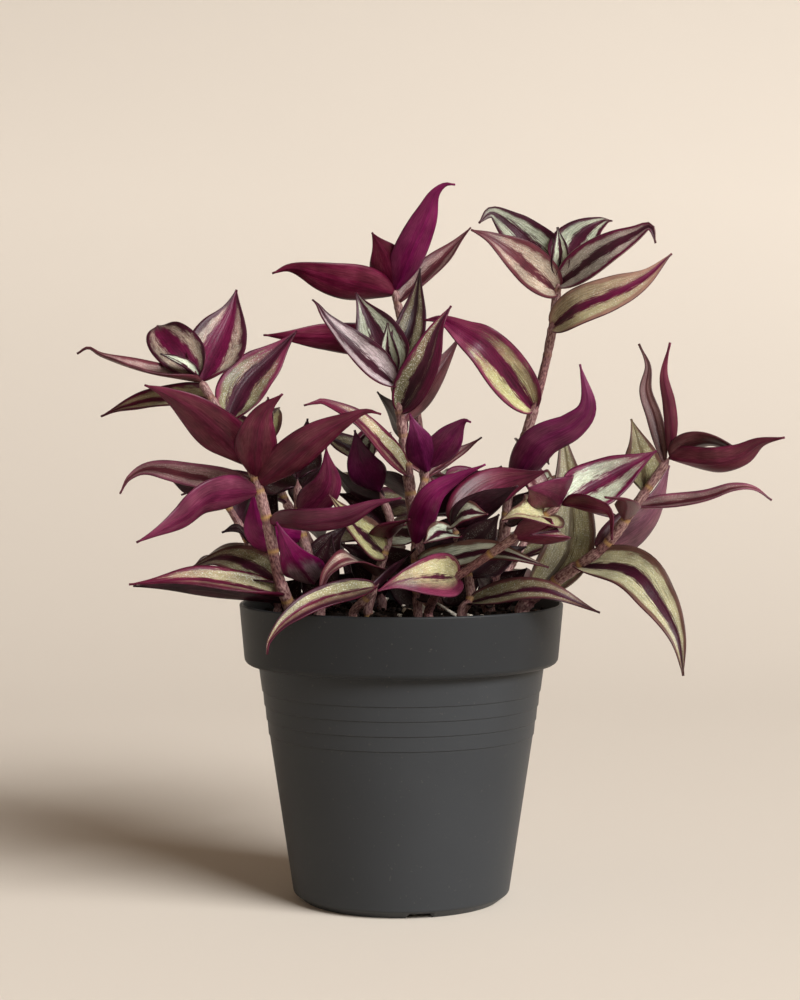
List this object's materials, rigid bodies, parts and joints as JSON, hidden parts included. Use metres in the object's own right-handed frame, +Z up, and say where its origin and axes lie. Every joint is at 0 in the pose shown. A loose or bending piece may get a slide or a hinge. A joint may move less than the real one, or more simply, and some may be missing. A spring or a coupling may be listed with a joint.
{
  "type": "potted tradescantia",
  "caption": "Leafy plant with pointed silver-striped leaves, purple underneath, on jointed stems that spread from the soil of a plain round dark grey nursery pot.",
  "frame": {"origin": "on the surface the pot stands on, under the middle of the plant's reach from leaf tip to leaf tip; the pot's own axis is 9.5 mm to the left of it and 24.2 mm in front", "axes": "+Z up along the pot, +X to the right and +Y away from the viewer, seen from the side that the picture shows"},
  "size_m": [0.2454, 0.1924, 0.2655],
  "materials": {
    "pot": "matt injection-moulded plastic, dark grey",
    "soil": "dark crumbly potting mix with white perlite",
    "foliage": "satin leaves with two silver-green bands above and purple below"
  },
  "bodies": {
    "root": {"pot": "pot", "soil": "soil", "stem_left": "foliage", "stem_rear_left": "foliage", "stem_inner_left": "foliage", "stem_centre": "foliage", "stem_rear_centre": "foliage", "stem_tall_right": "foliage", "stem_right": "foliage", "stem_front_lean": "foliage", "stem_centre_shoot": "foliage", "stem_centre_left": "foliage", "stem_front_left": "foliage", "stem_front_right": "foliage", "stem_back_left": "foliage", "stem_back_tall": "foliage", "stem_back_centre": "foliage", "stem_back_right": "foliage"}
  },
  "joints": []
}
